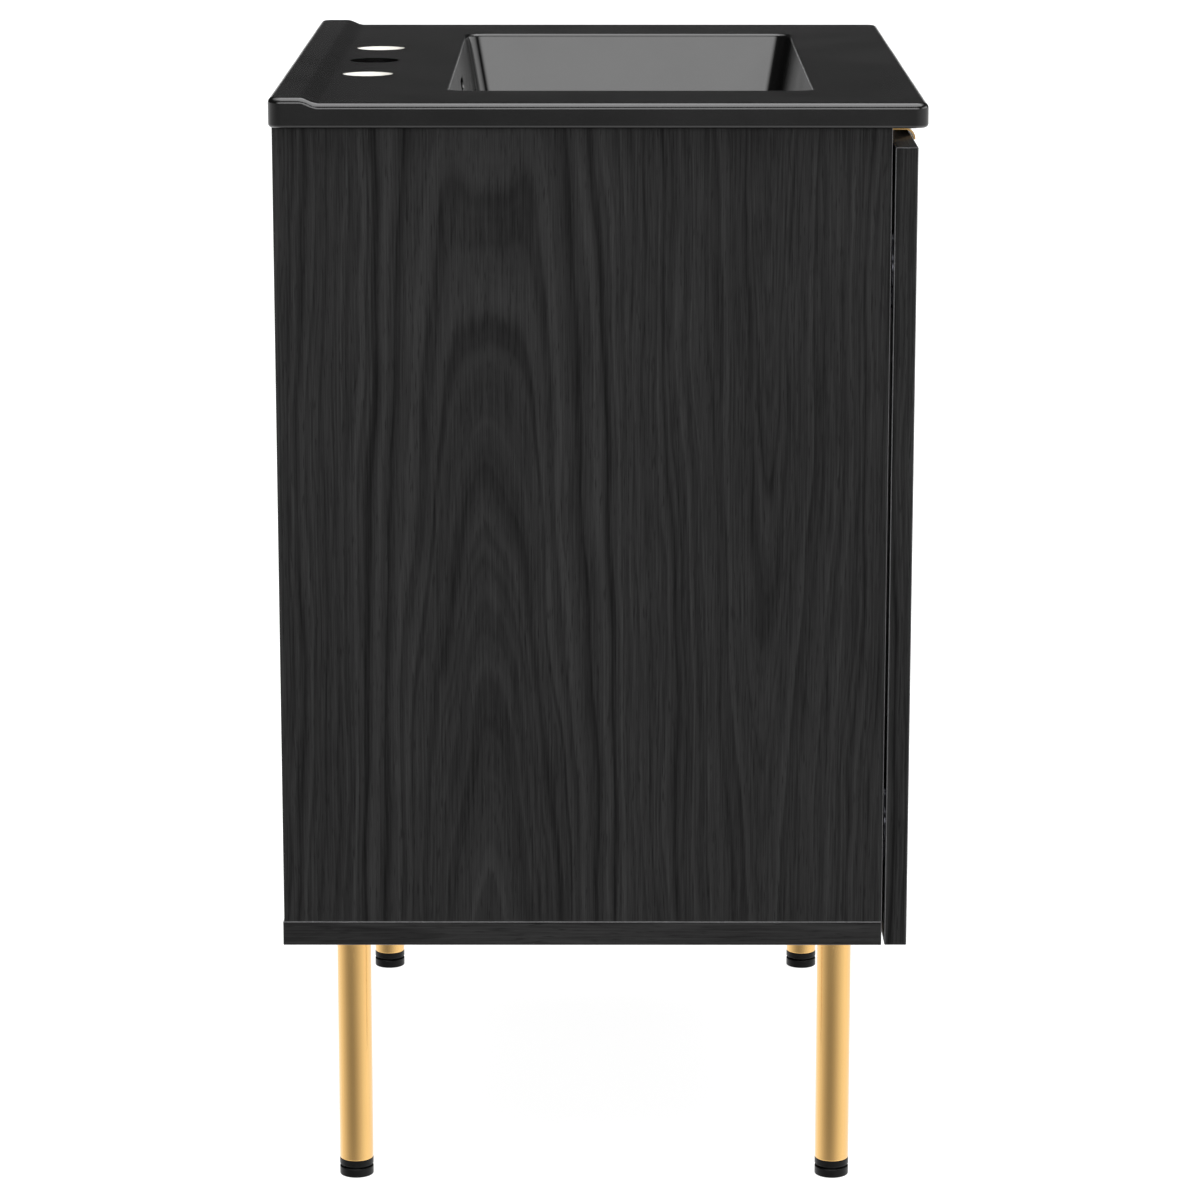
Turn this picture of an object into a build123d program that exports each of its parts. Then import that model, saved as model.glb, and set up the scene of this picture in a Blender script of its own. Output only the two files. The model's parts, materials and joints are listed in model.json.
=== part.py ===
from build123d import *
from math import radians, tan
import os

# Bathroom vanity: ceramic sink top on a two-door cabinet with four legs.
# Millimetres. +Z up, the doors face -Y, left is -X. The floor is Z = 0 and the origin is
# below the middle of the sink top.

# ---- driving dimensions -----------------------------------------------------------------
# Sink top
sink_width = 622.0
sink_depth = 470.0
deck_height = 815.0
slab_thickness = 18.0
slab_corner_radius = 10.0
slab_edge_radius = 6.0
lip_rise = 4.0
lip_width = 22.0
lip_fall = 15.0
basin_width = 446.0
basin_length = 266.0
basin_back_margin = 125.6
basin_depth = 130.0
basin_draft = 10.0
basin_corner_radius = 14.0
basin_floor_radius = 12.0
basin_rim_radius = 3.0
ceramic_wall = 9.0
drain_radius = 22.5
drain_collar_wall = 12.0
drain_collar_drop = 26.0
faucet_hole_radius = 19.0
faucet_spread = 101.6
faucet_back_margin = 61.0
overflow_width = 44.0
overflow_height = 10.0
overflow_below_deck = 14.0
overflow_channel_depth = 11.0

# Cabinet
sink_overhang_side = 11.0
sink_overhang_front = 6.6
cabinet_back_inset = 2.3
board_thickness = 18.0
board_edge_radius = 0.6
cabinet_bottom_height = 190.0
bottom_proud_back = 0.8
back_rail_height = 90.0
front_rail_height = 56.0
wall_hole_radius = 3.0
wall_hole_spacing = 400.0

# Doors and pulls
door_thickness = 16.5
door_gap_behind = 2.1
door_gap_centre = 3.0
door_gap_top = 14.3
door_edge_radius = 1.0
pull_length = 138.0
pull_thickness = 1.2
pull_rise = 4.5
pull_curl_radius = 7.4
pull_lip_drop = 3.8
pull_reach = 3.1
pull_flange_height = 24.0
pull_screw_spacing = 96.0

# Concealed hinges, measured from the cabinet's outer side face and its front edge
hinge_end_margin = 90.0
hinge_arm_pivot_in = 31.6
hinge_arm_pivot_back = 9.7
hinge_cup_pivot_in = 9.7
hinge_cup_pivot_forward = 5.6
hinge_knee_length = 11.8
hinge_knee_angle = 28.0
hinge_link_thickness = 1.8
hinge_link_half_height = 5.0
hinge_link_side_gap = 0.35
hinge_pin_radius = 1.2
hinge_eye_radius = 2.4
hinge_cup_radius = 17.5
hinge_cup_depth = 12.2
hinge_cup_wall = 0.8
hinge_cup_edge = 5.0
hinge_flange_thickness = 0.8
hinge_flange_height = 56.0
hinge_flange_width = 24.0
hinge_cup_screw_spacing = 45.0
hinge_plate_thickness = 2.5
hinge_plate_length = 50.0
hinge_plate_height = 46.0
hinge_plate_screw_spacing = 32.0
hinge_plate_setback = 22.0
hinge_arm_length = 62.0
hinge_arm_rise = 15.0
hinge_ear_thickness = 2.0

# Legs and feet
leg_radius = 12.7
leg_wall = 1.5
leg_inset_side = 34.0
leg_inset_back = 49.7
leg_inset_front = 33.3
collar_height = 4.8
pad_height = 8.2
pad_neck_height = 1.4
pad_neck_radius = 10.0
foot_stem_radius = 4.0
foot_stem_length = 34.0
plug_length = 22.0
leg_bolt_radius = 4.0
tee_flange_radius = 11.0

# Joinery
dowel_radius = 4.0
dowel_length = 30.0
dowel_depth_side = 11.0
cam_radius = 7.5
cam_depth = 13.0
cam_setback = 24.0
cam_bolt_radius = 3.5
cam_bolt_depth_side = 10.0
fastener_offset = 15.0
assembly_screw_radius = 3.2
assembly_screw_length = 50.0
assembly_head_radius = 5.0
assembly_head_height = 3.5
assembly_screw_inset = 45.0
dowel_inset_bottom = 110.0
small_screw_radius = 1.6
small_screw_head_radius = 3.4
small_screw_head_height = 1.6
small_screw_length = 12.0
bumper_radius = 4.5
bumper_thickness = 1.5
bumper_margin = 14.0
sealant_leg = 6.0
sealant_end_gap = 12.0

# Clearances
fastener_clearance = 0.1
running_clearance = 0.05
press_clearance = 0.05

# ---- places worked out from the dimensions above ----------------------------------------
cabinet_width = sink_width - 2 * sink_overhang_side
side_outer = cabinet_width / 2
side_inner = side_outer - board_thickness
sink_back = sink_depth / 2
sink_front = -sink_depth / 2
carcass_back = sink_back - cabinet_back_inset
door_front = sink_front + sink_overhang_front
door_back = door_front + door_thickness
carcass_front = door_back + door_gap_behind
carcass_top = deck_height - slab_thickness
bottom_top = cabinet_bottom_height + board_thickness
door_top = carcass_top - door_gap_top
door_middle = -(side_outer + door_gap_centre / 2) / 2

basin_back = sink_back - basin_back_margin
basin_middle = basin_back - basin_length / 2
basin_floor = deck_height - basin_depth
bowl_bottom = basin_floor - ceramic_wall
drain_bottom = bowl_bottom - drain_collar_drop
faucet_line = sink_back - faucet_back_margin

leg_x = side_outer - leg_inset_side
leg_places = {
    "front_left": (-leg_x, carcass_front + leg_inset_front),
    "front_right": (leg_x, carcass_front + leg_inset_front),
    "back_left": (-leg_x, carcass_back - leg_inset_back),
    "back_right": (leg_x, carcass_back - leg_inset_back),
}
leg_bottom = pad_height + collar_height
hinge_heights = {
    "lower": cabinet_bottom_height + hinge_end_margin,
    "upper": door_top - hinge_end_margin,
}
rail_height_of = {"back_rail_upper": back_rail_height, "back_rail_lower": back_rail_height,
                  "front_rail": front_rail_height}
rail_bottom_of = {"back_rail_upper": carcass_top - back_rail_height,
                  "back_rail_lower": bottom_top,
                  "front_rail": carcass_top - front_rail_height}
rail_back_of = {"back_rail_upper": carcass_back, "back_rail_lower": carcass_back,
                "front_rail": carcass_front + board_thickness}
pull_screw_places = [door_middle - pull_screw_spacing / 2, door_middle + pull_screw_spacing / 2]
pull_screw_height = door_top - 0.6 * pull_flange_height


# ---- helpers ----------------------------------------------------------------------------
def rod(start, direction, radius, length):
    """A cylinder that begins at start and runs along direction."""
    base = Plane(origin=start, z_dir=direction)
    return base * Cylinder(radius, length, align=(Align.CENTER, Align.CENTER, Align.MIN))


def block(low, high):
    """A box between two opposite corners."""
    size = [b - a for a, b in zip(low, high)]
    return Pos(*low) * Box(*size, align=(Align.MIN, Align.MIN, Align.MIN))


def board(low, high, radius=board_edge_radius):
    """A board with its edges eased all round."""
    plain = block(low, high)
    return fillet(plain.edges(), radius)


def mirrored(part):
    """The same piece on the right-hand side."""
    return mirror(part, about=Plane.YZ)


def save(name, part):
    """Write one named piece to its own file."""
    part.label = name
    export_step(part, f"parts/{name}.step")


def save_pair(name, part):
    """Write a left-hand piece and its mirror image."""
    save(f"{name}_left", part)
    save(f"{name}_right", mirrored(part))


def group(pieces):
    """Identical separate solids kept together in one file."""
    return Compound(children=list(pieces))


def countersunk(start, direction, length=small_screw_length, grow=0.0):
    """A small flat-headed screw whose head is flush with start; grow makes its clearance cut."""
    head = Plane(origin=start, z_dir=direction) * Cone(
        small_screw_head_radius + grow, small_screw_radius + grow, small_screw_head_height,
        align=(Align.CENTER, Align.CENTER, Align.MIN))
    return head + rod(start, direction, small_screw_radius + grow, length + grow)


# ---- sink top ---------------------------------------------------------------------------
def slab():
    """The deck with its raised back lip: one YZ outline drawn along X, rounded in plan."""
    fall_start = (sink_back - lip_width - lip_fall, deck_height)
    fall_end = (sink_back - lip_width, deck_height + lip_rise)
    with BuildSketch(Plane.YZ) as outline:
        with BuildLine():
            Polyline(fall_start, (sink_front, deck_height), (sink_front, carcass_top),
                     (sink_back, carcass_top), (sink_back, deck_height + lip_rise), fall_end)
            Spline(fall_end, fall_start, tangents=[(-1, 0), (-1, 0)])
        make_face()
    bar = extrude(outline.sketch, sink_width / 2, both=True)
    plan = Pos(0, 0, carcass_top) * RectangleRounded(sink_width, sink_depth, slab_corner_radius)
    body = bar & extrude(plan, slab_thickness + 2 * lip_rise)
    rim = [e for e in body.edges() if e.bounding_box().min.Z > deck_height - 0.01
           and not on_the_deck(e)]
    body = fillet(rim, slab_edge_radius * 0.75)
    under = [e for e in body.edges() if e.bounding_box().max.Z < carcass_top + 0.01]
    return fillet(under, slab_edge_radius * 0.5)


def on_the_deck(edge):
    """Whether a top edge is one of the lip's two long creases, which stay as they are."""
    box = edge.bounding_box()
    inside = sink_back - lip_width + 0.01
    return box.size.X > sink_width / 2 and sink_front + 1 < box.min.Y < inside


def tapered_bowl(grow, depth, top):
    """A block hanging down from top, its four walls leaning in by the draft, corners rounded."""
    lean = depth * tan(radians(basin_draft))
    half_x = basin_width / 2 + grow
    half_y = basin_length / 2 + grow
    across = Plane(origin=(0, basin_middle, top), x_dir=(1, 0, 0), z_dir=(0, -1, 0)) * Polygon(
        (-half_x, 0), (half_x, 0), (half_x - lean, -depth), (lean - half_x, -depth), align=None)
    along = Plane(origin=(0, basin_middle, top), x_dir=(0, 1, 0), z_dir=(1, 0, 0)) * Polygon(
        (-half_y, 0), (half_y, 0), (half_y - lean, -depth), (lean - half_y, -depth), align=None)
    body = extrude(across, 2 * half_y, both=True) & extrude(along, 2 * half_x, both=True)
    walls = [e for e in body.edges() if e.bounding_box().size.Z > depth / 2]
    return fillet(walls, basin_corner_radius + grow)


def basin_hollow():
    """The inside of the basin, with a rounded floor."""
    hollow = tapered_bowl(0, basin_depth, deck_height)
    floor = hollow.faces().sort_by(Axis.Z)[0]
    return fillet(floor.edges(), basin_floor_radius)


def overflow_duct():
    """The boss behind the bowl and the rib below it that carry the overflow to the drain."""
    half = overflow_width / 2 + ceramic_wall
    back = basin_back + 2 * ceramic_wall + overflow_channel_depth
    boss = block((-half, basin_middle, bowl_bottom - 12), (half, back, carcass_top))
    return boss - tapered_bowl(ceramic_wall / 2, basin_depth + 60, deck_height)


def overflow_passage():
    """Slot through the back wall, channel down behind it, passage forward to the drain."""
    half = overflow_width / 2
    slot_middle = deck_height - overflow_below_deck - overflow_height / 2
    channel_front = basin_back + ceramic_wall
    channel_back = channel_front + overflow_channel_depth
    slot_plan = Plane(origin=(0, basin_back - ceramic_wall, slot_middle), x_dir=(1, 0, 0),
                      z_dir=(0, 1, 0))
    slot = extrude(slot_plan * SlotOverall(overflow_width, overflow_height),
                   channel_back - basin_back + ceramic_wall)
    channel = block((-half, channel_front, bowl_bottom - 6),
                    (half, channel_back, slot_middle + overflow_height / 2))
    passage = block((-overflow_height, basin_middle, bowl_bottom - 6),
                    (overflow_height, channel_back, bowl_bottom + 1.5))
    return slot + channel + passage


def sink_top():
    """One casting: slab, bowl, drain collar and overflow."""
    bowl = tapered_bowl(ceramic_wall, basin_depth + ceramic_wall, deck_height)
    collar = rod((0, basin_middle, drain_bottom), (0, 0, 1), drain_radius + drain_collar_wall,
                 basin_floor - drain_bottom)
    below = block((-sink_width, -sink_depth, drain_bottom), (sink_width, sink_depth, carcass_top + 1))
    body = slab() + (bowl & below) + collar + overflow_duct()
    body -= basin_hollow()
    rim = [e for e in body.edges() if abs(e.bounding_box().min.Z - deck_height) < 0.01
           and abs(e.bounding_box().max.Z - deck_height) < 0.01 and inside_basin(e)]
    body = fillet(rim, basin_rim_radius)
    body -= overflow_passage()
    body -= rod((0, basin_middle, drain_bottom - 1), (0, 0, 1), drain_radius, basin_depth)
    for place in (-faucet_spread, 0, faucet_spread):
        body -= rod((place, faucet_line, carcass_top - 1), (0, 0, 1), faucet_hole_radius,
                    2 * slab_thickness)
    return body


def inside_basin(edge):
    """Whether an edge belongs to the basin's top outline."""
    box = edge.bounding_box()
    slack = 1.0
    return (abs(box.min.X) < basin_width / 2 + slack and abs(box.max.X) < basin_width / 2 + slack
            and box.max.Y < basin_back + slack)


# ---- joinery cuts -----------------------------------------------------------------------
def rail_axis_points(name):
    """Dowel and cam heights and the mid-thickness line of one rail."""
    middle = rail_bottom_of[name] + rail_height_of[name] / 2
    y = rail_back_of[name] - board_thickness / 2
    return y, middle - fastener_offset, middle + fastener_offset


def left_rail_fasteners(name, grow):
    """Dowel and cam bolt at a rail's left end; grow makes their clearance cuts."""
    y, dowel_z, bolt_z = rail_axis_points(name)
    start = -side_inner - dowel_depth_side - grow
    dowel = rod((start, y, dowel_z), (1, 0, 0), dowel_radius + grow, dowel_length + 2 * grow)
    start = -side_inner - cam_bolt_depth_side - grow
    length = cam_bolt_depth_side + cam_setback + cam_radius / 4 + 2 * grow
    bolt = rod((start, y, bolt_z), (1, 0, 0), cam_bolt_radius + grow, length)
    return dowel, bolt


def left_cam(name, grow):
    """The cam disc at a rail's left end, let into the rail's inner face."""
    y, _, bolt_z = rail_axis_points(name)
    inner_face = rail_back_of[name] - board_thickness
    inward = 1.0
    if name == "front_rail":
        inner_face = rail_back_of[name]
        inward = -1.0
    start = (-side_inner + cam_setback, inner_face, bolt_z)
    return rod(start, (0, inward, 0), cam_radius + grow, cam_depth + grow)


def slotted_cam(name):
    """A cam disc with the bolt's passage and a screwdriver slot."""
    disc = left_cam(name, 0)
    disc -= left_rail_fasteners(name, fastener_clearance)[1]
    centre = disc.bounding_box().center()
    inner_face = rail_back_of[name] - board_thickness
    if name == "front_rail":
        inner_face = rail_back_of[name]
    slot = Pos(centre.X, inner_face, centre.Z) * Box(1.4, 3.0, cam_radius * 1.3)
    return disc - slot


def bottom_fastener_places():
    """Where dowels and assembly screws stand along the left side's bottom edge."""
    x = -side_outer + board_thickness / 2
    dowels = [(x, carcass_front + dowel_inset_bottom), (x, carcass_back - dowel_inset_bottom)]
    screws = [(x, carcass_front + assembly_screw_inset), (x, carcass_back - assembly_screw_inset)]
    return dowels, screws


def left_bottom_dowels(grow):
    """Upright dowels between bottom board and left side."""
    places, _ = bottom_fastener_places()
    depth = dowel_depth_side + grow
    return [rod((x, y, bottom_top - depth), (0, 0, 1), dowel_radius + grow, dowel_length + 2 * grow)
            for x, y in places]


def left_assembly_screws(grow):
    """Screws driven up through the bottom board into the left side."""
    _, places = bottom_fastener_places()
    screws = []
    for x, y in places:
        base = (x, y, cabinet_bottom_height)
        shank = rod(base, (0, 0, 1), assembly_screw_radius + grow, assembly_screw_length + grow)
        head = rod(base, (0, 0, 1), assembly_head_radius + grow, assembly_head_height + grow)
        screws.append(shank + head)
    return screws


# ---- cabinet boards ---------------------------------------------------------------------
def side_panel():
    """Left side panel, standing on the bottom board."""
    panel = board((-side_outer, carcass_front, bottom_top), (-side_inner, carcass_back, carcass_top))
    for name in rail_bottom_of:
        for cut in left_rail_fasteners(name, fastener_clearance):
            panel -= cut
    for cut in left_bottom_dowels(fastener_clearance) + left_assembly_screws(fastener_clearance):
        panel -= cut
    for height in hinge_heights.values():
        for screw in plate_screws(height, press_clearance):
            panel -= screw
    return panel


def bottom_board():
    """The board under the sides, with holes for legs, dowels and assembly screws."""
    panel = board((-side_outer, carcass_front, cabinet_bottom_height),
                  (side_outer, carcass_back + bottom_proud_back, bottom_top))
    for cut in left_bottom_dowels(fastener_clearance) + left_assembly_screws(fastener_clearance):
        panel -= cut
        panel -= mirrored(cut)
    for x, y in leg_places.values():
        panel -= tee_nut(x, y, fastener_clearance)
        panel -= rod((x, y, cabinet_bottom_height - 1), (0, 0, 1),
                     leg_bolt_radius + fastener_clearance, board_thickness + 2)
    return panel


def rail(name):
    """A rail between the sides, bored at both ends."""
    back = rail_back_of[name]
    low = rail_bottom_of[name]
    panel = board((-side_inner, back - board_thickness, low),
                  (side_inner, back, low + rail_height_of[name]))
    for cut in (*left_rail_fasteners(name, fastener_clearance), left_cam(name, fastener_clearance)):
        panel -= cut
        panel -= mirrored(cut)
    if name == "back_rail_upper":
        middle = low + rail_height_of[name] / 2
        for x in (-wall_hole_spacing / 2, wall_hole_spacing / 2):
            panel -= rod((x, back - 2 * board_thickness, middle), (0, 1, 0), wall_hole_radius,
                         3 * board_thickness)
    return panel


def bead(corner, inward, along, length):
    """A three-cornered bead whose legs run inward and down from a corner line."""
    corner = Vector(*corner)
    section = Polyline(corner, corner + Vector(*inward) * sealant_leg,
                       corner - Vector(0, 0, sealant_leg), close=True)
    return extrude(make_face(section), length, dir=along)


def sealant_beads():
    """Beads in the angle between sink underside and cabinet, one along each side and rail."""
    front = carcass_front + board_thickness
    back = carcass_back - board_thickness
    start = front + sealant_end_gap
    left = bead((-side_inner, start, carcass_top), (1, 0, 0), (0, 1, 0), back - front - 2 * sealant_end_gap)
    start = -side_inner + sealant_end_gap
    rear = bead((start, back, carcass_top), (0, -1, 0), (1, 0, 0), -2 * start)
    fore = bead((start, front, carcass_top), (0, 1, 0), (1, 0, 0), -2 * start)
    return group([left, mirrored(left), rear, fore])


# ---- doors and pulls --------------------------------------------------------------------
def door():
    """Left door, bored for hinge cups, screws and pull."""
    panel = board((-side_outer, door_front, cabinet_bottom_height),
                  (-door_gap_centre / 2, door_back, door_top), door_edge_radius)
    for height in hinge_heights.values():
        x = -side_outer + hinge_cup_edge + hinge_cup_radius
        panel -= rod((x, door_back, height), (0, -1, 0), hinge_cup_radius + press_clearance,
                     hinge_cup_depth + press_clearance)
        for screw in cup_screws(height, press_clearance):
            panel -= screw
    for screw in pull_screws(press_clearance):
        panel -= screw
    return panel


def edge_pull():
    """Thin bent strip: flange behind the door, flat over its top edge, curl at the front."""
    back_face = door_back + pull_thickness
    top = door_top + pull_rise
    front = door_front - pull_reach
    curl_middle = (front + pull_curl_radius, top - pull_curl_radius)
    lip_end = door_top - pull_lip_drop
    inner = pull_curl_radius - pull_thickness
    with BuildSketch(Plane.YZ) as outline:
        with BuildLine():
            Polyline((door_back, door_top - pull_flange_height),
                     (back_face, door_top - pull_flange_height), (back_face, top),
                     (curl_middle[0], top))
            CenterArc(curl_middle, pull_curl_radius, 90, 90)
            Polyline((front, curl_middle[1]), (front, lip_end), (front + pull_thickness, lip_end),
                     (front + pull_thickness, curl_middle[1]))
            CenterArc(curl_middle, inner, 90, 90)
            Polyline((curl_middle[0], top - pull_thickness), (door_back, top - pull_thickness),
                     (door_back, door_top - pull_flange_height))
        make_face()
    strip = Pos(door_middle, 0, 0) * extrude(outline.sketch, pull_length / 2, both=True)
    for screw in pull_screws(fastener_clearance):
        strip -= screw
    return strip


def pull_screws(grow):
    """Two countersunk screws through the pull's flange into the back of the left door."""
    start_y = door_back + pull_thickness
    length = small_screw_length
    return [countersunk((x, start_y, pull_screw_height), (0, -1, 0), length, grow)
            for x in pull_screw_places]


def door_bumpers():
    """Soft discs on the left door's inner face, at the free edge."""
    x = -door_gap_centre / 2 - bumper_margin
    low = cabinet_bottom_height + board_thickness / 2
    high = door_top - bumper_margin
    return group(rod((x, door_back, z), (0, 1, 0), bumper_radius, bumper_thickness)
                 for z in (low, high))


# ---- concealed hinges -------------------------------------------------------------------
def hinge_point(inward, forward, height):
    """A point given from the cabinet's left outer face and front edge."""
    return (-side_outer + inward, carcass_front - forward, height)


def knee_place():
    """The bend of the hinge link, inward and forward as for hinge_point."""
    step = Vector(hinge_knee_length, 0, 0).rotate(Axis.Z, hinge_knee_angle)
    return hinge_cup_pivot_in + step.X, hinge_cup_pivot_forward + step.Y


def link_strip(start, end, height):
    """A flat bar of the link between two points given inward and forward."""
    a = Vector(*hinge_point(*start, height))
    b = Vector(*hinge_point(*end, height))
    bar_plane = Plane(origin=a, x_dir=b - a, z_dir=(0, 0, 1))
    return bar_plane * Pos((b - a).length / 2, 0, 0) * Box(
        (b - a).length, hinge_link_thickness, 2 * hinge_link_half_height)


def hinge_link(height):
    """The cranked link with an eye at each end."""
    cup_end = (hinge_cup_pivot_in, hinge_cup_pivot_forward)
    arm_end = (hinge_arm_pivot_in, -hinge_arm_pivot_back)
    knee = knee_place()
    base = height - hinge_link_half_height
    full = 2 * hinge_link_half_height
    body = link_strip(cup_end, knee, height) + link_strip(knee, arm_end, height)
    body += rod(hinge_point(*knee, base), (0, 0, 1), hinge_link_thickness / 2, full)
    for eye in (cup_end, arm_end):
        body += rod(hinge_point(*eye, base), (0, 0, 1), hinge_eye_radius, full)
    for eye in (cup_end, arm_end):
        body -= rod(hinge_point(*eye, base - 1), (0, 0, 1), hinge_pin_radius + running_clearance,
                    full + 2)
    return body


def hinge_cup(height):
    """Round steel cup with a screw flange, let into the left door."""
    x = -side_outer + hinge_cup_edge + hinge_cup_radius
    outer = rod((x, door_back, height), (0, -1, 0), hinge_cup_radius, hinge_cup_depth)
    flange_low = (x - hinge_flange_width / 2, door_back, height - hinge_flange_height / 2)
    flange_high = (x + hinge_flange_width / 2, door_back + hinge_flange_thickness,
                   height + hinge_flange_height / 2)
    flange = fillet(block(flange_low, flange_high).edges().filter_by(Axis.Y), hinge_flange_width / 4)
    collar = rod((x, door_back, height), (0, 1, 0), hinge_cup_radius, hinge_flange_thickness)
    inside = rod((x, door_back + 2 * hinge_flange_thickness, height), (0, -1, 0),
                 hinge_cup_radius - hinge_cup_wall,
                 hinge_cup_depth + 2 * hinge_flange_thickness - hinge_cup_wall)
    cup = outer + flange + collar - inside
    cup += (cup_cheeks(height) & outer)
    cup -= cup_pin(height, press_clearance)
    for screw in cup_screws(height, fastener_clearance):
        cup -= screw
    return cup


def ear_inside():
    """Half the space between a hinge's two ears or cheeks."""
    return hinge_link_half_height + hinge_link_side_gap


def cup_cheeks(height):
    """Two cheeks inside the cup that hold the pin above and below the link."""
    reach = 2 * hinge_eye_radius
    x = -side_outer + hinge_cup_pivot_in
    pair = Part()
    for low in (height - ear_inside() - hinge_ear_thickness, height + ear_inside()):
        pair += block((x - reach, door_back - hinge_cup_depth, low),
                      (x + hinge_eye_radius, door_back, low + hinge_ear_thickness))
    return pair


def cup_pin(height, grow):
    """The pin across the cup's cheeks that the link turns on."""
    half = ear_inside() + hinge_ear_thickness + grow
    start = hinge_point(hinge_cup_pivot_in, hinge_cup_pivot_forward, height - half)
    return rod(start, (0, 0, 1), hinge_pin_radius + grow, 2 * half)


def cup_screws(height, grow):
    """Two countersunk screws through the cup's flange into the left door."""
    x = -side_outer + hinge_cup_edge + hinge_cup_radius
    y = door_back + hinge_flange_thickness
    return [countersunk((x, y, height + side * hinge_cup_screw_spacing / 2), (0, -1, 0),
                        small_screw_length, grow) for side in (-1, 1)]


def hinge_plate(height):
    """Flat mounting plate on the left side's inner face."""
    y = carcass_front + hinge_plate_setback
    half = hinge_plate_height / 2
    low = (-side_inner, y, height - half)
    high = (-side_inner + hinge_plate_thickness, y + hinge_plate_length, height + half)
    plate = fillet(block(low, high).edges().filter_by(Axis.X), hinge_plate_height / 6)
    for screw in plate_screws(height, fastener_clearance):
        plate -= screw
    return plate - arm_screw(height, fastener_clearance)


def plate_screws(height, grow):
    """Two countersunk screws through the mounting plate into the left side."""
    y = carcass_front + hinge_plate_setback + hinge_plate_length / 3
    x = -side_inner + hinge_plate_thickness
    return [countersunk((x, y, height + side * hinge_plate_screw_spacing / 2), (-1, 0, 0),
                        small_screw_length, grow) for side in (-1, 1)]


def arm_top_height():
    """How far the hinge arm stands off the side's inner face."""
    return hinge_plate_thickness + hinge_arm_rise


def hinge_arm(height):
    """Channel-shaped arm on the plate, with two ears that carry the link's pin."""
    inside = ear_inside()
    outside = inside + hinge_ear_thickness
    x0 = -side_inner + hinge_plate_thickness
    x1 = -side_inner + arm_top_height()
    y_web = carcass_front + hinge_plate_setback - 2.0
    y_pivot = carcass_front + hinge_arm_pivot_back
    y_end = y_pivot + hinge_arm_length
    web = block((x0, y_web, height - outside), (x1, y_end, height + outside))
    trough = block((x0 + hinge_ear_thickness, y_web - 1, height - inside),
                   (x1 + 1, y_end - hinge_ear_thickness, height + inside))
    arm = web - trough
    pivot_x = -side_outer + hinge_arm_pivot_in
    ear_radius = hinge_eye_radius + hinge_ear_thickness
    for low in (height - outside, height + inside):
        ear = block((pivot_x - ear_radius, y_pivot, low),
                    (x1, y_web + 1, low + hinge_ear_thickness))
        tip = rod((pivot_x, y_pivot, low), (0, 0, 1), ear_radius, hinge_ear_thickness)
        arm += ear + tip
    return arm - arm_pin(height, press_clearance) - arm_screw(height, fastener_clearance)


def arm_pin(height, grow):
    """The pin through the arm's ears."""
    half = ear_inside() + hinge_ear_thickness + grow
    start = hinge_point(hinge_arm_pivot_in, -hinge_arm_pivot_back, height - half)
    return rod(start, (0, 0, 1), hinge_pin_radius + grow, 2 * half)


def arm_screw(height, grow):
    """The screw that clamps the arm to its plate."""
    y = carcass_front + hinge_arm_pivot_back + 0.75 * hinge_arm_length
    x = -side_inner + hinge_plate_thickness + hinge_ear_thickness
    head = rod((x, y, height), (1, 0, 0), small_screw_head_radius, small_screw_head_height)
    shank = rod((x, y, height), (-1, 0, 0), small_screw_radius + grow,
                hinge_ear_thickness + hinge_plate_thickness - fastener_clearance)
    return head + shank


# ---- legs and feet ----------------------------------------------------------------------
def leg_tube(x, y):
    """Round metal tube from the collar to the bottom board."""
    length = cabinet_bottom_height - leg_bottom
    tube = rod((x, y, leg_bottom), (0, 0, 1), leg_radius, length)
    return tube - rod((x, y, leg_bottom - 1), (0, 0, 1), leg_radius - leg_wall, length + 2)


def leg_collar(x, y):
    """Plastic end plug: a ring below the tube and a bored plug inside it."""
    ring = rod((x, y, pad_height), (0, 0, 1), leg_radius, collar_height)
    ring = fillet(ring.edges().sort_by(Axis.Z)[0], 0.6)
    plug = rod((x, y, leg_bottom), (0, 0, 1), leg_radius - leg_wall - press_clearance, plug_length)
    bore = rod((x, y, pad_height - 1), (0, 0, 1), foot_stem_radius + running_clearance,
               collar_height + plug_length + 2)
    return ring + plug - bore


def levelling_foot(x, y):
    """Pad with a narrow neck, and the stem that screws up into the plug."""
    pad = rod((x, y, 0), (0, 0, 1), leg_radius, pad_height - pad_neck_height)
    pad = fillet(pad.edges(), 0.8)
    neck = rod((x, y, pad_height - pad_neck_height), (0, 0, 1), pad_neck_radius, pad_neck_height)
    stem = rod((x, y, pad_height), (0, 0, 1), foot_stem_radius, foot_stem_length)
    return pad + neck + stem


def leg_top_plug(x, y):
    """Threaded plug in the top of a tube."""
    plug = rod((x, y, cabinet_bottom_height - plug_length), (0, 0, 1),
               leg_radius - leg_wall - press_clearance, plug_length)
    return plug - leg_bolt(x, y, fastener_clearance)


def leg_bolt(x, y, grow):
    """Stud from the top plug up into the tee nut."""
    start = cabinet_bottom_height - plug_length + 4 - grow
    length = plug_length - 4 + board_thickness - 3 + 2 * grow
    return rod((x, y, start), (0, 0, 1), leg_bolt_radius + grow, length)


def tee_nut(x, y, grow):
    """Flanged nut let into the bottom board from above."""
    flange = rod((x, y, bottom_top + grow), (0, 0, -1), tee_flange_radius + grow, 1.6 + 2 * grow)
    barrel = rod((x, y, bottom_top), (0, 0, -1), leg_bolt_radius + 1.4 + grow,
                 0.65 * board_thickness + grow)
    return flange + barrel


def bored_tee_nut(x, y):
    """The tee nut with its through bore."""
    return tee_nut(x, y, 0) - rod((x, y, cabinet_bottom_height), (0, 0, 1),
                                  leg_bolt_radius + fastener_clearance, 2 * board_thickness)


# ---- write every piece ------------------------------------------------------------------
os.makedirs("parts", exist_ok=True)

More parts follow.
